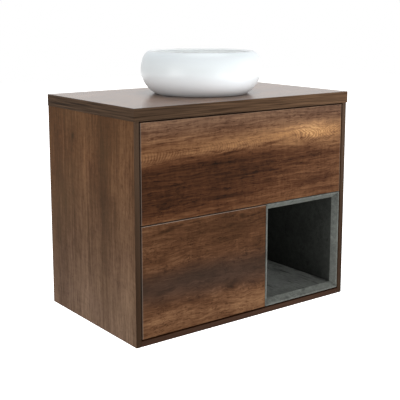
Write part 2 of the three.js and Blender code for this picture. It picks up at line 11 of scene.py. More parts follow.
import bmesh
import bpy
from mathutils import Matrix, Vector


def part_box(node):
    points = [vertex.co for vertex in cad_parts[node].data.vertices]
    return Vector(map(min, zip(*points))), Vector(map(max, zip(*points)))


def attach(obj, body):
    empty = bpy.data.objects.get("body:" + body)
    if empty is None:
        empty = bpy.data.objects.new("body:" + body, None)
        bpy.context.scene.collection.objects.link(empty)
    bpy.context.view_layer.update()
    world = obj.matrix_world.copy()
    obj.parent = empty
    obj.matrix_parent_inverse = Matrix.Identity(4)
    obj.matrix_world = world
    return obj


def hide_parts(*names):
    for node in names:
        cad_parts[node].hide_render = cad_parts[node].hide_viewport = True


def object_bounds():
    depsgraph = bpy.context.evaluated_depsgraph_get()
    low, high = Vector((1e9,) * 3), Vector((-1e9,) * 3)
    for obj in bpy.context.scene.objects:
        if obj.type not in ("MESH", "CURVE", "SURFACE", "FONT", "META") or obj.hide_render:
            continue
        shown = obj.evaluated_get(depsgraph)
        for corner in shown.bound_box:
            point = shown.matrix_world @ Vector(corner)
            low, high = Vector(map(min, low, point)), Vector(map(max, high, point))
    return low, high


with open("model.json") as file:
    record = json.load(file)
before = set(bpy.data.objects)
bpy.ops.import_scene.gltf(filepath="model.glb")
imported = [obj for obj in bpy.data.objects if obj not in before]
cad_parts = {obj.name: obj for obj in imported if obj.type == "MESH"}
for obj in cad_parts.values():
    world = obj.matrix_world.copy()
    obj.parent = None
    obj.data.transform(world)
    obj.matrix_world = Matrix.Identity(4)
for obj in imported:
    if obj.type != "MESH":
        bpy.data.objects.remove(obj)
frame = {"nodes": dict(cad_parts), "record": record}
cad_low, cad_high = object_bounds()

nodes = frame["nodes"]
body_of_node = {
    node: body
    for body, members in frame["record"]["behaviour"]["bodies"].items()
    for node in members
}

MM = 0.001


# ---- Shader graphs ----

class Graph:
    """Builds a material's nodes. A value is a number, a colour or another node's output."""

    def __init__(self, name):
        self.material = bpy.data.materials.new(name)
        self.material.use_nodes = True
        self.tree = self.material.node_tree
        self.shader = self.tree.nodes["Principled BSDF"]
        place = self.tree.nodes.new("ShaderNodeTexCoord").outputs["Object"]
        split = self.tree.nodes.new("ShaderNodeSeparateXYZ")
        self.tree.links.new(place, split.inputs[0])
        self.place = place
        self.x, self.y, self.z = split.outputs[:3]

    def facing(self):
        """The x, y and z of the direction that the surface faces."""
        normal = self.tree.nodes.new("ShaderNodeTexCoord").outputs["Normal"]
        split = self.tree.nodes.new("ShaderNodeSeparateXYZ")
        self.tree.links.new(normal, split.inputs[0])
        return split.outputs[:3]

    def feed(self, socket, value):
        if isinstance(value, bpy.types.NodeSocket):
            self.tree.links.new(value, socket)
        elif value is not None:
            socket.default_value = value

    def math(self, operation, a, b=None, c=None):
        node = self.tree.nodes.new("ShaderNodeMath")
        node.operation = operation
        for socket, value in zip(node.inputs, (a, b, c)):
            self.feed(socket, value)
        return node.outputs[0]

    def add(self, a, b):
        return self.math("ADD", a, b)

    def sub(self, a, b):
        return self.math("SUBTRACT", a, b)

    def mul(self, a, b):
        return self.math("MULTIPLY", a, b)

    def muladd(self, a, factor, offset):
        return self.math("MULTIPLY_ADD", a, factor, offset)

    def vector(self, x, y, z):
        node = self.tree.nodes.new("ShaderNodeCombineXYZ")
        for socket, value in zip(node.inputs, (x, y, z)):
            self.feed(socket, value)
        return node.outputs[0]

    def stretched(self, x_size, y_size, z_size):
        """The place on the object, counted in features per metre along each axis."""
        return self.vector(self.mul(self.x, x_size), self.mul(self.y, y_size), self.mul(self.z, z_size))

    def noise(self, vector, scale=1.0, detail=2.0, rough=0.5, distortion=0.0):
        node = self.tree.nodes.new("ShaderNodeTexNoise")
        self.feed(node.inputs["Vector"], vector)
        self.feed(node.inputs["Scale"], scale)
        self.feed(node.inputs["Detail"], detail)
        self.feed(node.inputs["Roughness"], rough)
        self.feed(node.inputs["Distortion"], distortion)
        return node.outputs[0]

    def step(self, value, low, high, to_low=0.0, to_high=1.0):
        """A smooth change from to_low, where the value is low, to to_high, where it is high."""
        node = self.tree.nodes.new("ShaderNodeMapRange")
        node.interpolation_type = "SMOOTHSTEP"
        for socket, item in zip(node.inputs, (value, low, high, to_low, to_high)):
            self.feed(socket, item)
        return node.outputs[0]

    def ramp(self, value, stops):
        node = self.tree.nodes.new("ShaderNodeValToRGB")
        elements = node.color_ramp.elements
        for index, (position, colour) in enumerate(stops):
            element = elements[index] if index < 2 else elements.new(position)
            element.position = position
            element.color = (*colour, 1.0)
        self.feed(node.inputs[0], value)
        return node.outputs[0]

    def mix(self, share, a, b):
        node = self.tree.nodes.new("ShaderNodeMix")
        node.data_type = "RGBA"
        self.feed(node.inputs[0], share)
        self.feed(node.inputs[6], a if isinstance(a, bpy.types.NodeSocket) else (*a, 1.0))
        self.feed(node.inputs[7], b if isinstance(b, bpy.types.NodeSocket) else (*b, 1.0))
        return node.outputs[2]

    def bump(self, height, distance, strength):
        node = self.tree.nodes.new("ShaderNodeBump")
        self.feed(node.inputs["Height"], height)
        self.feed(node.inputs["Distance"], distance)
        self.feed(node.inputs["Strength"], strength)
        self.feed(self.shader.inputs["Normal"], node.outputs[0])

    def surface(self, **sockets):
        for name, value in sockets.items():
            self.feed(self.shader.inputs[name.replace("_", " ")], value)


def srgb(r, g, b):
    """A colour given as three display values from 0 to 255, in the linear values that shaders use."""
    def linear(value):
        share = value / 255
        return share / 12.92 if share <= 0.04045 else ((share + 0.055) / 1.055) ** 2.4
    return linear(r), linear(g), linear(b)


# ---- Oak decor ----

OAK_STOPS = [
    (0.00, srgb(20, 11, 6)),
    (0.20, srgb(45, 25, 13)),
    (0.38, srgb(68, 41, 24)),
    (0.54, srgb(93, 63, 41)),
    (0.70, srgb(117, 84, 56)),
    (0.84, srgb(143, 104, 68)),
    (1.00, srgb(178, 138, 93)),
]


def greyed(colour, share):
    """The same lightness with part of the colour taken out."""
    grey = 0.3 * colour[0] + 0.6 * colour[1] + 0.1 * colour[2]
    return tuple(value + (grey - value) * share for value in colour)


GREY_OAK_STOPS = [(position, greyed(colour, 0.45)) for position, colour in OAK_STOPS]
OAK_SPECULAR = 0.015
OAK_ROUGHNESS_SPREAD = 0.16
OAK_RELIEF = 0.10 * MM
# Painted highlight: the colour of the light lines along the fronts' rounded edges.
ARRIS_HIGHLIGHT_COLOUR = srgb(150, 138, 128)
ARRIS_WIDTH = 1.2 * MM
EDGE_BAND_DEPTH = 0.8 * MM
EDGE_SOFTNESS = 0.2 * MM


class Oak(Graph):
    """Rustic oak print on one board. u runs along the grain and v across it, both in metres."""

    def __init__(self, name, node, along, across, seed):
        super().__init__(name)
        self.low, self.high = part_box(node)
        self.seed = seed
        axes = {"x": (0, self.x), "y": (1, self.y), "z": (2, self.z)}
        self.along_index, self.u = axes[along]
        self.across_index, self.v = axes[across]
        through = ({"x", "y", "z"} - {along, across}).pop()
        self.w = axes[through][1]

    def layer(self, along, across, through, seed, detail=2.0, rough=0.5):
        """Noise stretched along the bent grain, given as features per metre each way."""
        place = self.vector(
            self.mul(self.uw, along),
            self.mul(self.grain, across),
            self.muladd(self.w, through, self.seed + seed),
        )
        return self.noise(place, detail=detail, rough=rough)

    def place_at(self, s, t):
        """A point on the board from its share along and across, both counted from the low corner."""
        low, high = self.low, self.high
        u = low[self.along_index] + s * (high[self.along_index] - low[self.along_index])
        v = low[self.across_index] + t * (high[self.across_index] - low[self.across_index])
        return u, v

    def distance(self, s, t, reach_u, reach_v, slope=0.0):
        """The square of the distance from a place on the board, counted in its two reaches in metres."""
        u0, v0 = self.place_at(s, t)
        du = self.sub(self.uw, u0)
        dv = self.sub(self.vw, self.muladd(du, slope, v0)) if slope else self.sub(self.vw, v0)
        a = self.mul(du, 1 / reach_u)
        b = self.mul(dv, 1 / reach_v)
        return self.add(self.mul(a, a), self.mul(b, b))

    def blob(self, s, t, reach_u, reach_v, slope=0.0):
        """1 at a place on the board, fading to 0 about two reaches away."""
        return self.math("EXPONENT", self.mul(self.distance(s, t, reach_u, reach_v, slope), -1.0))

    def warp(self, knots=()):
        """Bends the grain, and parts it round each knot, given as (s, t, reach_u, reach_v, pull)."""
        def sway(along, across, seed, size, detail=2.0):
            place = self.vector(
                self.mul(self.u, along),
                self.mul(self.v, across),
                self.muladd(self.w, across, self.seed + seed),
            )
            return self.muladd(self.noise(place, detail=detail), size, -size / 2)
        self.vw = self.add(self.v, self.add(sway(1.8, 4.0, 0.0, 0.036), sway(12.0, 26.0, 1.0, 0.011, 3.0)))
        self.uw = self.add(self.u, sway(5.0, 9.0, 3.0, 0.07))
        self.grain = self.vw
        for s, t, reach_u, reach_v, pull in knots:
            v0 = self.place_at(s, t)[1]
            near = self.blob(s, t, reach_u, reach_v)
            self.grain = self.sub(self.grain, self.mul(self.mul(self.sub(self.grain, v0), near), pull))

    def swirl(self, s, t, reach_u, reach_v, size):
        """Stirs the grain round a place on the board, by up to half the given size in metres."""
        along, across = 26.0, 34.0      # stirs per metre
        place = self.vector(self.mul(self.u, along), self.mul(self.v, across), self.seed + 41.0)
        stir = self.muladd(self.noise(place, detail=2.0), size, -size / 2)
        self.grain = self.add(self.grain, self.mul(stir, self.blob(s, t, reach_u, reach_v)))

    def rings(self, s, t, reach_u, reach_v, count):
        """Rings round a knot from -1 to 1, fading outwards."""
        along, across = 38.0, 60.0      # dents per metre
        dent = 0.9                      # a dent's depth in reaches
        square = self.distance(s, t, reach_u, reach_v)
        place = self.vector(self.mul(self.u, along), self.mul(self.v, across), self.seed + 47.0)
        radius = self.add(self.math("SQRT", square), self.mul(self.noise(place), dent))
        wave = self.math("SINE", self.mul(radius, count * 2 * math.pi))
        return self.mul(wave, self.math("EXPONENT", self.mul(square, -1.0)))

    def flame(self, s, t, reach_u, reach_v, bend):
        """Broken nested arcs from -1 to 1, closing towards the high end when bend is positive."""
        arcs = 76.0                     # arcs per metre along the grain
        along, across = 24.0, 42.0      # breaks per metre
        most_stray = 3.2                # how far an arc strays, in arcs
        u0, v0 = self.place_at(s, t)
        rise = self.sub(self.vw, v0)
        place = self.vector(self.mul(self.u, along), self.mul(self.v, across), self.seed + 43.0)
        stray = self.mul(self.noise(place, detail=3.0, rough=0.6), most_stray)
        phase = self.muladd(self.mul(rise, rise), bend, self.mul(self.sub(self.uw, u0), arcs))
        wave = self.math("SINE", self.mul(self.add(phase, stray), 2 * math.pi))
        return self.mul(wave, self.blob(s, t, reach_u, reach_v))

    def ripples(self, s, t, reach_u, reach_v):
        """A row of short curved marks across the grain, from -1 to 1."""
        marks, curve = 108.0, 4050.0    # marks per metre, and how strongly each one curves
        v0 = self.place_at(s, t)[1]
        rise = self.sub(self.vw, v0)
        phase = self.muladd(self.mul(rise, rise), curve, self.mul(self.uw, marks))
        wave = self.math("SINE", self.mul(phase, 2 * math.pi))
        return self.mul(wave, self.blob(s, t, reach_u, reach_v))

    def hairlines(self, along, across, seed, thin):
        """Thin meandering cracks, broken into short lengths."""
        n = self.layer(along, across, across, seed, 3.0, 0.6)
        line = self.step(self.math("ABSOLUTE", self.sub(n, 0.5)), 0.0, thin, 1.0, 0.0)
        broken = self.step(self.layer(along * 0.7, across * 0.4, across, seed + 2.0, 2.0), 0.48, 0.58)
        return self.mul(line, broken)

    def draw_grain(self, short=1.0, streaks=0.38, clouds=0.34, cracking=0.13):
        """The grain's light and dark, about 0 on average, without the board's own patches.

        short above 1 breaks the streaks into shorter lengths; the others are the layers' strengths.
        """
        wide = self.layer(0.9, 16.0, 12.0, 11.0, 3.0, 0.55)
        middle = self.layer(3.0 * short, 75.0, 60.0, 5.0, 4.0, 0.65)
        thin = self.layer(4.5 * short, 135.0, 110.0, 13.0, 3.0, 0.7)
        self.fine = self.layer(10.0 * short, 210.0, 200.0, 7.0, 3.0, 0.7)
        cloud = self.layer(8.0, 22.0, 9.0, 19.0, 4.0, 0.65)
        marks = self.layer(110.0, 30.0, 30.0, 29.0, 1.0)
        self.cracks = self.step(self.layer(18.0, 170.0, 150.0, 23.0, 3.0, 0.65), 0.55, 0.66)
        flecks = self.step(self.layer(50.0, 240.0, 200.0, 37.0, 2.0), 0.58, 0.70)
        self.tone = self.muladd(flecks, -0.12, self.mul(self.cracks, -0.13))
        self.tone = self.muladd(self.hairlines(26.0, 60.0, 53.0, 0.018), -cracking, self.tone)
        layers = (
            (wide, 0.34),
            (middle, streaks),
            (thin, 0.24),
            (self.fine, 0.48),
            (cloud, clouds),
            (marks, 0.14),
        )
        for value, size in layers:
            self.tone = self.add(self.tone, self.muladd(value, size, -size / 2))

    def finish(self, base, patches=(), contrast=1.0, rough=0.5, relief=1.0, tints=(), grey=None):
        """patches lists (mask, strength), dark when negative; tints lists (mask, colour)."""
        tone = self.muladd(self.tone, contrast, base)
        for mask, strength in patches:
            tone = self.add(tone, self.mul(mask, strength))
        colour = self.ramp(tone, OAK_STOPS)
        if grey is not None:
            colour = self.mix(grey, colour, self.ramp(tone, GREY_OAK_STOPS))
        for mask, shade in tints:
            colour = self.mix(mask, colour, shade)
        roughness = self.muladd(self.fine, OAK_ROUGHNESS_SPREAD, rough - OAK_ROUGHNESS_SPREAD / 2)
        self.surface(Base_Color=colour, Roughness=roughness, Specular_IOR_Level=OAK_SPECULAR)
        self.bump(self.sub(self.mul(self.fine, 0.6), self.cracks), OAK_RELIEF * relief, 0.5)
        return self.material

    def greying(self, share):
        """A mask that grows from 0 at the board's top to the given share at its foot."""
        return self.step(self.z, self.low[2], self.high[2], share, 0.0)

    def edge(self, coordinate, side, wide):
        """1 on a strip of the given width along one side of the board, such as ("y", "low")."""
        index = "xyz".index(coordinate)
        value = (self.x, self.y, self.z)[index]
        if side == "low":
            limit = self.low[index] + wide
            return self.step(value, limit - EDGE_SOFTNESS, limit + EDGE_SOFTNESS, 1.0, 0.0)
        limit = self.high[index] - wide
        return self.step(value, limit - EDGE_SOFTNESS, limit + EDGE_SOFTNESS)


def front_arris_highlight(oak, top, left, right):
    """Painted highlights along a front's edges, where the rounded arrises catch the light, each with its own
    strength.
    """
    lines = oak.mul(oak.edge("z", "high", ARRIS_WIDTH), top)
    lines = oak.math("MAXIMUM", lines, oak.mul(oak.edge("x", "low", ARRIS_WIDTH), left))
    return oak.math("MAXIMUM", lines, oak.mul(oak.edge("x", "high", ARRIS_WIDTH), right))


def oak_upper_front():
    """A golden streak that rises to the right into a swirling knot, over a dark reddish half."""
    oak = Oak("oak_upper_front", "upper_front", "x", "z", 4.0)
    oak.warp([
        (0.80, 0.68, 0.050, 0.022, 0.85),
        (0.88, 0.84, 0.036, 0.022, 0.80),
        (0.50, 0.62, 0.140, 0.030, 0.50),
    ])
    oak.swirl(0.84, 0.74, 0.13, 0.05, 0.030)
    oak.draw_grain(1.0, 0.30, 0.32, 0.16)
    gold_left = oak.blob(0.05, 0.675, 0.23, 0.021, 0.02)
    gold_middle = oak.blob(0.45, 0.68, 0.22, 0.026, 0.06)
    gold_right = oak.blob(0.86, 0.735, 0.19, 0.042)
    patches = [
        (gold_left, 0.06),
        (gold_middle, 0.15),
        (gold_right, 0.25),
        (oak.ripples(0.08, 0.665, 0.09, 0.012), 0.08),
        (oak.ripples(0.40, 0.68, 0.14, 0.018), 0.05),
        (oak.flame(0.82, 0.71, 0.062, 0.034, 6000.0), 0.11),
        (oak.flame(0.95, 0.71, 0.042, 0.028, -5000.0), 0.09),
        (oak.blob(0.95, 0.94, 0.20, 0.024), -0.10),
        (oak.blob(0.10, 0.54, 0.36, 0.020, 0.02), -0.16),
        (oak.blob(0.42, 0.48, 0.30, 0.045, 0.05), -0.20),
        (oak.blob(0.02, 0.25, 0.30, 0.090), -0.20),
        (oak.blob(0.42, 0.20, 0.26, 0.070), -0.16),
        (oak.blob(0.90, 0.48, 0.14, 0.035), -0.16),
        (oak.blob(0.90, 0.15, 0.20, 0.060), -0.12),
        (oak.blob(0.780, 0.675, 0.006, 0.003), -0.24),
        (oak.blob(0.62, 0.66, 0.05, 0.004, 0.10), -0.20),
        (oak.blob(0.40, 0.615, 0.06, 0.004, 0.08), -0.24),
        (oak.blob(0.38, 0.16, 0.06, 0.004), -0.18),
        (oak.blob(0.55, 0.37, 0.06, 0.003), -0.20),
        (oak.blob(0.20, 0.80, 0.16, 0.004, 0.04), -0.14),
    ]
    height = oak.high[2] - oak.low[2]
    top = oak.step(oak.z, oak.low[2] + 0.7 * height, oak.high[2], 0.0, 0.5)
    # The upper front's edges carry painted highlights, faint on top.
    return oak.finish(0.57, patches, tints=[(front_arris_highlight(oak, 0.12, 0.30, 0.40), ARRIS_HIGHLIGHT_COLOUR)], grey=top)


def oak_lower_front():
    """Warm brown with a dark knot at the top right and a purple-brown cloud across the middle."""
    oak = Oak("oak_lower_front", "lower_front", "x", "z", 9.0)
    oak.warp([
        (0.80, 0.93, 0.045, 0.020, 0.75),
        (0.71, 0.30, 0.050, 0.030, 0.60),
        (0.36, 0.62, 0.060, 0.040, 0.50),
    ])
    oak.swirl(0.62, 0.35, 0.22, 0.09, 0.034)
    oak.draw_grain(2.4, 0.24, 0.46, 0.26)
    cloud = oak.blob(0.50, 0.42, 0.42, 0.050)
    patches = [
        (cloud, -0.18),
        (oak.blob(0.05, 0.40, 0.16, 0.050), -0.10),
        (oak.blob(0.80, 0.86, 0.24, 0.050), -0.15),
        (oak.rings(0.71, 0.30, 0.050, 0.030, 2.0), 0.06),
        (oak.blob(0.80, 0.935, 0.013, 0.007), -0.30),
        (oak.blob(0.92, 0.935, 0.05, 0.003, 0.12), -0.20),
        (oak.blob(0.19, 0.930, 0.040, 0.005, 0.20), -0.22),
        (oak.blob(0.70, 0.30, 0.024, 0.011, 0.40), -0.22),
        (oak.blob(0.14, 0.36, 0.020, 0.010, 0.20), -0.14),
        (oak.blob(0.45, 0.10, 0.50, 0.045), 0.14),
        (oak.blob(0.35, 0.63, 0.05, 0.010), 0.12),
    ]
    tints = [
        (0.12, srgb(88, 62, 34)),
        (oak.mul(cloud, 0.28), srgb(58, 47, 42)),
        # Painted highlights along the lower front's edges, strongest on top.
        (front_arris_highlight(oak, 0.55, 0.30, 0.0), ARRIS_HIGHLIGHT_COLOUR),
    ]
    grey = oak.math("MAXIMUM", oak.mul(cloud, 0.8), 0.15)
    return oak.finish(0.43, patches, tints=tints, grey=grey)


def oak_side(name, node, seed):
    """Upright grain with one broad dark stripe, a small knot near the top and a lighter front edge."""
    oak = Oak(name, node, "z", "y", seed)
    oak.warp([(0.90, 0.68, 0.045, 0.016, 0.60)])
    oak.draw_grain()
    patches = [
        (oak.blob(0.62, 0.33, 0.50, 0.026), -0.20),
        (oak.blob(0.885, 0.69, 0.050, 0.010), -0.14),
        (oak.blob(0.885, 0.69, 0.010, 0.006), -0.34),
        (oak.blob(0.30, 0.52, 0.16, 0.010), -0.10),
        (oak.blob(0.50, 0.07, 0.42, 0.030), 0.13),
        (oak.blob(0.55, 0.58, 0.42, 0.035), 0.05),
        (oak.blob(0.45, 0.88, 0.40, 0.040), -0.07),
        (oak.blob(0.08, 0.45, 0.16, 0.30), 0.19),
    ]
    band = oak.edge("y", "low", EDGE_BAND_DEPTH)
    olive = oak.muladd(oak.noise(oak.place, scale=5.0), 0.5, 0.0)
    tints = [(olive, srgb(90, 70, 47)), (band, side_band_shade(oak))]
    return oak.finish(0.41, patches, contrast=0.95, tints=tints, grey=oak.greying(0.85))


def band_shade(oak, dark, light):
    """An edge band's own fine grain between two browns."""
    return oak.mix(oak.layer(2.0, 60.0, 60.0, 31.0, 3.0), dark, light)


def side_band_shade(oak):
    """The side panel's edge band, darker towards its foot."""
    height = oak.step(oak.z, oak.low[2] + 0.1, oak.high[2])
    foot = band_shade(oak, srgb(30, 20, 12), srgb(56, 40, 28))
    top = band_shade(oak, srgb(47, 35, 25), srgb(79, 62, 49))
    return oak.mix(height, foot, top)


def oak_bottom():
    """The same print on the bottom panel, with a dark front edge band."""
    oak = Oak("oak_bottom", "bottom_panel", "x", "y", 21.0)
    oak.warp()
    oak.draw_grain()
    band = oak.edge("y", "low", EDGE_BAND_DEPTH)
    shade = band_shade(oak, srgb(34, 22, 15), srgb(64, 44, 33))
    return oak.finish(0.42, contrast=0.8, tints=[(band, shade)])


def oak_worktop():
    """The same print with a smoother, glossier top and an edge band round the three open sides."""
    lacquer_depth = 1.0 * MM
    oak = Oak("oak_worktop", "worktop", "x", "y", 27.0)
    oak.warp()
    oak.draw_grain()
    band = oak.edge("y", "low", EDGE_BAND_DEPTH)
    for side in ("low", "high"):
        band = oak.math("MAXIMUM", band, oak.edge("x", side, EDGE_BAND_DEPTH))
    lines = oak.noise(oak.stretched(6.0, 6.0, 260.0), detail=3.0)
    across = oak.step(oak.x, oak.low[0], oak.high[0])
    dark = oak.ramp(lines, [(0.30, srgb(34, 24, 16)), (0.70, srgb(74, 57, 43))])
    light = oak.ramp(lines, [(0.30, srgb(52, 36, 23)), (0.70, srgb(96, 72, 52))])
    shade = oak.mix(across, dark, light)
    lacquer = oak.mul(oak.edge("z", "high", lacquer_depth), 0.80)
    oak.surface(Coat_Weight=lacquer, Coat_Roughness=0.20, Coat_IOR=1.55)
    return oak.finish(0.60, contrast=1.1, rough=0.42, relief=0.2, tints=[(band, shade)], grey=0.20)


# ---- Other materials ----

def stone_decor():
    """Stone print with clouds, mottling, dark veins and grit.

    Behind the bevels the walls, ceiling and back are darker as painted shade, and the floor is paler
    towards the back as painted light, and streaked.
    """
    stone = Graph("stone_decor")
    place = stone.place
    clouds = stone.noise(place, scale=14.0, detail=5.0, rough=0.62, distortion=0.5)
    mottling = stone.noise(place, scale=90.0, detail=4.0, rough=0.65)
    grit = stone.noise(place, scale=420.0, detail=2.0)
    veins = stone.step(stone.noise(place, scale=32.0, detail=4.0, rough=0.6, distortion=1.2), 0.56, 0.66)
    tone = stone.muladd(clouds, 0.50, -0.25)
    tone = stone.add(tone, stone.muladd(mottling, 0.70, -0.35))
    tone = stone.add(tone, stone.muladd(grit, 0.44, 0.28))
    tone = stone.sub(tone, stone.mul(veins, 0.16))
    face = stone.ramp(tone, [
        (0.15, srgb(46, 48, 45)),
        (0.45, srgb(73, 75, 71)),
        (0.70, srgb(94, 97, 92)),
        (0.95, srgb(122, 125, 120)),
    ])
    front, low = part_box("niche_floor")[0][1:]
    bevel, board = 15 * MM, 19 * MM
    soft = 0.5 * MM
    # The first share darkens the walls, ceiling and back behind the bevels towards near black, as painted
    # shade; the second is the floor streaks' strength.
    painted_wall_shade, streak_shade = 0.60, 0.70
    inner = stone.step(stone.y, front + bevel - soft, front + bevel + soft)
    floor = stone.step(stone.z, low + board, low + board + 2 * soft, 1.0, 0.0)
    wall = stone.mul(inner, stone.muladd(floor, -painted_wall_shade, painted_wall_shade))
    colour = stone.mix(wall, face, srgb(20, 21, 19))
    inner_floor = stone.mul(inner, floor)
    # Painted light: the inner floor turns paler towards the back.
    painted_light_stone = stone.ramp(tone, [(0.15, srgb(130, 133, 128)), (0.95, srgb(212, 215, 210))])
    paler = stone.mul(inner_floor, stone.step(stone.y, front - 0.02, front + 0.21))
    colour = stone.mix(paler, colour, painted_light_stone)
    streak_place = stone.vector(stone.mul(stone.x, 75.0), stone.mul(stone.y, 9.0), 3.0)
    streaks = stone.step(stone.noise(streak_place, detail=4.0, rough=0.65), 0.52, 0.66)
    streaks = stone.mul(streaks, inner_floor)
    colour = stone.mix(stone.mul(streaks, streak_shade), colour, srgb(30, 32, 30))
    roughness = stone.muladd(mottling, 0.2, 0.50)
    stone.surface(Base_Color=colour, Roughness=roughness, Specular_IOR_Level=0.15)
    stone.bump(stone.add(mottling, stone.mul(grit, 0.5)), 0.00018, 0.5)
    return stone.material


def glazed_ceramic():
    """White satin glaze with the faintest unevenness.

    Painted light makes it lighter low down, on the foot and on the bowl's floor, and inside under the rim,
    half as much on the lip; painted shade makes it a little duller outside near the rim.
    """
    glaze = Graph("glazed_ceramic")
    cloud = glaze.noise(glaze.place, scale=6.0, detail=2.0)
    peel = glaze.noise(glaze.place, scale=120.0, detail=2.0)
    colour = glaze.mix(cloud, srgb(206, 212, 214), srgb(212, 218, 220))
    low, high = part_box("basin")
    middle = (low + high) / 2
    normal_x, normal_y, _ = glaze.facing()
    outwards = glaze.add(
        glaze.mul(normal_x, glaze.sub(glaze.x, middle[0])),
        glaze.mul(normal_y, glaze.sub(glaze.y, middle[1])),
    )
    height = glaze.sub(glaze.z, low[2])
    # Painted light: lighter inside the bowl under the rim, where the near rim shades it, and half as much on
    # the lip.
    inwards = glaze.step(outwards, -0.08, -0.04, 1.0, 0.0)
    under_rim = glaze.step(height, 0.04, 0.09)
    below_lip = glaze.step(height, 0.121, 0.127, 1.0, 0.5)
    inside = glaze.mul(inwards, glaze.mul(under_rim, below_lip))
    # Painted light: the glaze is lighter low down, on the foot and the bowl's floor, where less light
    # reaches, and most on the outside of the foot.
    outside = glaze.step(outwards, 0.0, 0.03)
    lower = glaze.step(height, 0.015, 0.085, 1.0, 0.0)
    # Painted shade: a little darker near the rim, which takes much light from above.
    rim = glaze.step(height, 0.08, 0.128)
    colour = glaze.mix(lower, colour, srgb(229, 234, 237))
    colour = glaze.mix(glaze.mul(lower, outside), colour, srgb(238, 243, 247))
    colour = glaze.mix(rim, colour, srgb(195, 201, 204))
    colour = glaze.mix(inside, colour, srgb(250, 250, 248))
    roughness = glaze.muladd(cloud, 0.08, 0.30)
    glaze.surface(Base_Color=colour, Roughness=roughness, Specular_IOR_Level=0.3)
    glaze.bump(peel, 0.00006, 0.3)
    return glaze.material


def box_board(name="box_board", banded_node=None):
    """Light grey melamine with a fine linen weave. A banded node's front edge is dark brown."""
    board = Graph(name)
    along, across = 60.0, 1100.0        # threads per metre
    threads = [
        board.noise(board.stretched(*sizes))
        for sizes in ((across, along, along), (along, across, along), (along, along, across))
    ]
    weave = board.mul(board.add(board.add(threads[0], threads[1]), threads[2]), 1 / 3)
    cloud = board.noise(board.place, scale=2.5, detail=2.0)
    tone = board.muladd(cloud, 0.25, board.sub(weave, 0.125))
    colour = board.ramp(tone, [(0.30, srgb(146, 143, 137)), (0.70, srgb(172, 169, 162))])
    specular = 0.35
    if banded_node:
        band_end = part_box(banded_node)[0][1] + EDGE_BAND_DEPTH
        band = board.step(board.y, band_end - EDGE_SOFTNESS, band_end + EDGE_SOFTNESS, 1.0, 0.0)
        colour = board.mix(band, colour, board.mix(cloud, srgb(26, 18, 12), srgb(40, 28, 20)))
        specular = 0.10
    roughness = board.muladd(weave, 0.2, 0.45)
    board.surface(Base_Color=colour, Roughness=roughness, Specular_IOR_Level=specular)
    board.bump(weave, 0.00008, 0.4)
    return board.material


def zinc_steel():
    """Zinc-plated sheet with fine rolling lines."""
    steel = Graph("zinc_steel")
    lines = steel.noise(steel.stretched(900.0, 12.0, 900.0), detail=2.0)
    bloom = steel.noise(steel.place, scale=45.0, detail=4.0, rough=0.6)
    colour = steel.ramp(bloom, [(0.30, srgb(146, 150, 154)), (0.70, srgb(184, 188, 191))])
    roughness = steel.muladd(lines, 0.22, 0.22)
    steel.surface(Base_Color=colour, Roughness=roughness, Metallic=1.0)
    steel.bump(lines, 0.00004, 0.4)
    return steel.material


def polished_chrome():
    """Bright chrome with faint smears."""
    chrome = Graph("polished_chrome")
    smears = chrome.noise(chrome.place, scale=60.0, detail=3.0)
    colour = chrome.ramp(smears, [(0.30, srgb(214, 217, 220)), (0.70, srgb(232, 234, 236))])
    roughness = chrome.muladd(smears, 0.08, 0.05)
    chrome.surface(Base_Color=colour, Roughness=roughness, Metallic=1.0)
    chrome.bump(smears, 0.00002, 0.3)
    return chrome.material


def moulded_plastic():
    """Light grey moulded plastic with a fine grain."""
    plastic = Graph("moulded_plastic")
    grain = plastic.noise(plastic.place, scale=900.0, detail=2.0)
    cloud = plastic.noise(plastic.place, scale=14.0, detail=2.0)
    colour = plastic.mix(cloud, srgb(190, 190, 186), srgb(206, 206, 202))
    roughness = plastic.muladd(grain, 0.2, 0.38)
    plastic.surface(Base_Color=colour, Roughness=roughness)
    plastic.bump(grain, 0.00008, 0.5)
    return plastic.material


def black_rubber():
    """Matt black rubber."""
    rubber = Graph("black_rubber")
    grain = rubber.noise(rubber.place, scale=700.0, detail=3.0)
    colour = rubber.ramp(grain, [(0.3, srgb(24, 24, 25)), (0.7, srgb(44, 44, 45))])
    rubber.surface(Base_Color=colour, Roughness=rubber.muladd(grain, 0.2, 0.65), Specular_IOR_Level=0.3)
    rubber.bump(grain, 0.00008, 0.5)
    return rubber.material


# ---- Dressing the CAD nodes ----

WELD_DISTANCE = 0.01 * MM
BEVEL_ANGLE = math.radians(30)
BEVEL_SEGMENTS = 2


def dress(node, material, bevel):
    """Gives a CAD node its material and softens its edges without moving a vertex of its mesh."""
    obj = nodes[node]
    obj.data.materials.clear()
    obj.data.materials.append(material)
    weld = obj.modifiers.new("weld", "WELD")
    weld.merge_threshold = WELD_DISTANCE
    if bevel:
        soften = obj.modifiers.new("bevel", "BEVEL")
        soften.width = bevel
        soften.segments = BEVEL_SEGMENTS
        soften.limit_method = "ANGLE"
        soften.angle_limit = BEVEL_ANGLE
        soften.harden_normals = True


def nodes_with_slot(slot):
    return [part["node"] for part in frame["record"]["subparts"] if part["material_slot"] == slot]


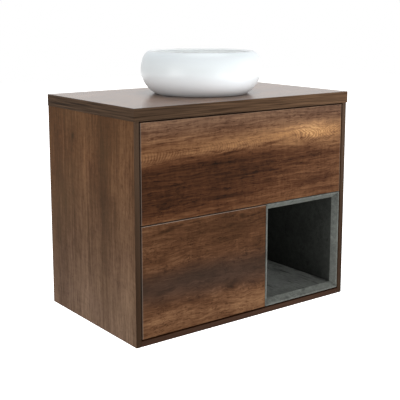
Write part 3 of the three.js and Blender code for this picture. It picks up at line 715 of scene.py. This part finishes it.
def dress_all():
    """Dresses every CAD node, each with its bevel, and gives back the materials that several nodes share."""
    own = {
        "upper_front": (oak_upper_front(), 0.7 * MM),
        "lower_front": (oak_lower_front(), 0.7 * MM),
        "side_panel_left": (oak_side("oak_side_left", "side_panel_left", 2.0), 0.6 * MM),
        "side_panel_right": (oak_side("oak_side_right", "side_panel_right", 15.0), 0.6 * MM),
        "bottom_panel": (oak_bottom(), 0.6 * MM),
        "worktop": (oak_worktop(), 0.8 * MM),
        "front_rail": (box_board("front_rail_board", "front_rail"), 0.4 * MM),
    }
    for node, (material, bevel) in own.items():
        dress(node, material, bevel)
    shared = {
        "stone_decor": (stone_decor(), 0.5 * MM),
        "box_board": (box_board(), 0.4 * MM),
        "steel": (zinc_steel(), 0.2 * MM),
        "chrome": (polished_chrome(), 0.4 * MM),
        "plastic": (moulded_plastic(), 0.4 * MM),
        "rubber": (black_rubber(), 0.3 * MM),
        "ceramic": (glazed_ceramic(), 0.0),
    }
    for slot, (material, bevel) in shared.items():
        for node in nodes_with_slot(slot):
            if node not in own:
                dress(node, material, bevel)
    return {slot: material for slot, (material, _) in shared.items()}


# ---- Turned pieces ----

def bezier(start, pull1, pull2, end, steps):
    """Points along a cubic curve, without its first point."""
    points = []
    for step in range(1, steps + 1):
        t = step / steps
        weights = ((1 - t) ** 3, 3 * t * (1 - t) ** 2, 3 * t * t * (1 - t), t ** 3)
        points.append(tuple(
            sum(w * p[axis] for w, p in zip(weights, (start, pull1, pull2, end)))
            for axis in (0, 1)
        ))
    return points


TURN_STEPS = 128


def turned(name, profile, centre):
    """A closed profile of (radius, height) in millimetres turned about an upright axis through centre."""
    mesh = bpy.data.meshes.new(name)
    shape = bmesh.new()
    rings = []
    for radius, height in profile:
        rings.append([
            shape.verts.new((
                centre[0] + radius * MM * math.cos(2 * math.pi * i / TURN_STEPS),
                centre[1] + radius * MM * math.sin(2 * math.pi * i / TURN_STEPS),
                centre[2] + height * MM,
            ))
            for i in range(TURN_STEPS)
        ])
    count = len(rings)
    for index in range(count):
        lower, upper = rings[index], rings[(index + 1) % count]
        for i in range(TURN_STEPS):
            j = (i + 1) % TURN_STEPS
            shape.faces.new((lower[i], lower[j], upper[j], upper[i]))
    bmesh.ops.recalc_face_normals(shape, faces=shape.faces)
    shape.to_mesh(mesh)
    shape.free()
    for face in mesh.polygons:
        face.use_smooth = True
    obj = bpy.data.objects.new(name, mesh)
    bpy.context.scene.collection.objects.link(obj)
    return obj


def basin_outline():
    """The CAD basin's section with its curves drawn finely."""
    widest, inner_widest = (186.5, 70.0), (175.0, 72.0)
    outer_rim, inner_rim = (165.7, 128.0), (153.3, 125.0)
    floor_edge = (100.0, 18.0)
    return [
        (23.0, 3.0),
        (121.0, 3.0),
        (122.5, 1.5),
        (123.5, 0.3),
        (125.0, 0.0),
        (141.5, 0.0),
        (142.6, 0.3),
        *bezier((142.9, 0.8), (166.0, 13.0), (186.5, 42.0), widest, 24),
        *bezier(widest, (186.5, 96.0), (180.0, 119.0), outer_rim, 18),
        *bezier(outer_rim, (162.5, 131.0), (156.5, 131.6), inner_rim, 12),
        *bezier(inner_rim, (163.5, 117.0), (175.0, 96.0), inner_widest, 16),
        *bezier(inner_widest, (175.0, 38.0), (152.0, 21.0), floor_edge, 18),
        (60.0, 16.4),
        (38.5, 15.6),
        (37.0, 15.0),
        (36.0, 14.0),
        (24.0, 14.0),
        (23.0, 13.0),
    ]


def build_basin(material):
    """The finely turned basin that stands for the faceted CAD one."""
    low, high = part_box("basin")
    centre = ((low[0] + high[0]) / 2, (low[1] + high[1]) / 2, low[2])
    basin = turned("basin_fine", basin_outline(), centre)
    basin.data.materials.append(material)
    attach(basin, body_of_node["basin"])
    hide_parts("basin")


# ---- Studio ----

FLOOR_DROP = 0.60
FLOOR_SIZE = 14.0
FLOOR_SEEN, FLOOR_LIGHT = 1.10, 0.50        # its glow as seen, and as it lights the vanity
WORLD_SEEN, WORLD_LIGHT = 1.0, 0.50
WHITE = (1.0, 1.0, 1.0, 1.0)
LIGHTS = (
    # name, way from the vanity's middle, distance, width and power
    ("key", (0.05, -0.95, -0.04), 4.0, 2.0, 61.0),
    ("fill", (0.86, -0.50, -0.02), 3.5, 2.0, 62.0),
    ("window", (-0.99, -0.12, 0.02), 3.0, 1.3, 37.0),
    ("overhead", (0.05, -0.10, 1.00), 2.6, 2.0, 42.0),
)


def build_floor():
    """A plain pale floor well below the wall-hung vanity."""
    z = cad_low[2] - FLOOR_DROP
    mesh = bpy.data.meshes.new("floor")
    corners = [(x * FLOOR_SIZE, y * FLOOR_SIZE, z) for x, y in ((-1, -1), (1, -1), (1, 1), (-1, 1))]
    mesh.from_pydata(corners, [], [(0, 1, 2, 3)])
    floor = bpy.data.objects.new("floor", mesh)
    bpy.context.scene.collection.objects.link(floor)
    paint = Graph("floor_paint")
    speckle = paint.noise(paint.place, scale=3.0, detail=2.0)
    colour = paint.mix(speckle, srgb(248, 248, 248), srgb(252, 252, 252))
    paint.surface(Base_Color=colour, Roughness=0.9, Specular_IOR_Level=0.0)
    diffuse = paint.tree.nodes.new("ShaderNodeLightPath").outputs["Is Diffuse Ray"]
    glow = paint.muladd(diffuse, FLOOR_LIGHT - FLOOR_SEEN, FLOOR_SEEN)
    paint.surface(Emission_Color=WHITE, Emission_Strength=glow)
    mesh.materials.append(paint.material)


def build_world():
    """White surroundings that light the vanity with less than they show."""
    world = bpy.data.worlds.new("studio")
    world.use_nodes = True
    tree = world.node_tree
    background = tree.nodes["Background"]
    background.inputs["Color"].default_value = WHITE
    background.inputs["Strength"].default_value = WORLD_LIGHT
    seen = tree.nodes.new("ShaderNodeBackground")
    seen.inputs["Color"].default_value = WHITE
    seen.inputs["Strength"].default_value = WORLD_SEEN
    path = tree.nodes.new("ShaderNodeLightPath")
    pick = tree.nodes.new("ShaderNodeMixShader")
    tree.links.new(path.outputs["Is Diffuse Ray"], pick.inputs[0])
    tree.links.new(seen.outputs[0], pick.inputs[1])
    tree.links.new(background.outputs[0], pick.inputs[2])
    tree.links.new(pick.outputs[0], tree.nodes["World Output"].inputs["Surface"])
    bpy.context.scene.world = world


def add_light(name, place, target, width, power):
    data = bpy.data.lights.new(name, "AREA")
    data.shape = "DISK"
    data.size = width
    data.energy = power
    light = bpy.data.objects.new(name, data)
    light.location = place
    light.rotation_mode = "QUATERNION"
    light.rotation_quaternion = (Vector(target) - Vector(place)).to_track_quat("-Z", "Y")
    bpy.context.scene.collection.objects.link(light)


def build_lights():
    middle = (cad_low + cad_high) / 2
    for name, way, distance, width, power in LIGHTS:
        add_light(name, middle + Vector(way).normalized() * distance, middle, width, power)


def build_camera():
    """The photograph's viewpoint, given from the cabinet's front lower left corner."""
    corner = Vector(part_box("side_panel_left")[0])
    from_corner = Vector((-1.198, -1.881, 0.921))
    turn, tilt = math.radians(36.97), math.radians(9.51)
    data = bpy.data.cameras.new("camera")
    data.sensor_width = 36.0
    data.lens = 76.8
    data.shift_y = -0.12
    camera = bpy.data.objects.new("camera", data)
    camera.location = corner + from_corner
    camera.rotation_mode = "QUATERNION"
    ahead = Vector((
        math.sin(turn) * math.cos(tilt),
        math.cos(turn) * math.cos(tilt),
        -math.sin(tilt),
    ))
    camera.rotation_quaternion = ahead.to_track_quat("-Z", "Y")
    bpy.context.scene.collection.objects.link(camera)
    bpy.context.scene.camera = camera


bpy.context.scene.view_settings.view_transform = "Standard"
build_camera()
build_world()
build_lights()
build_floor()
looks = dress_all()
build_basin(looks["ceramic"])
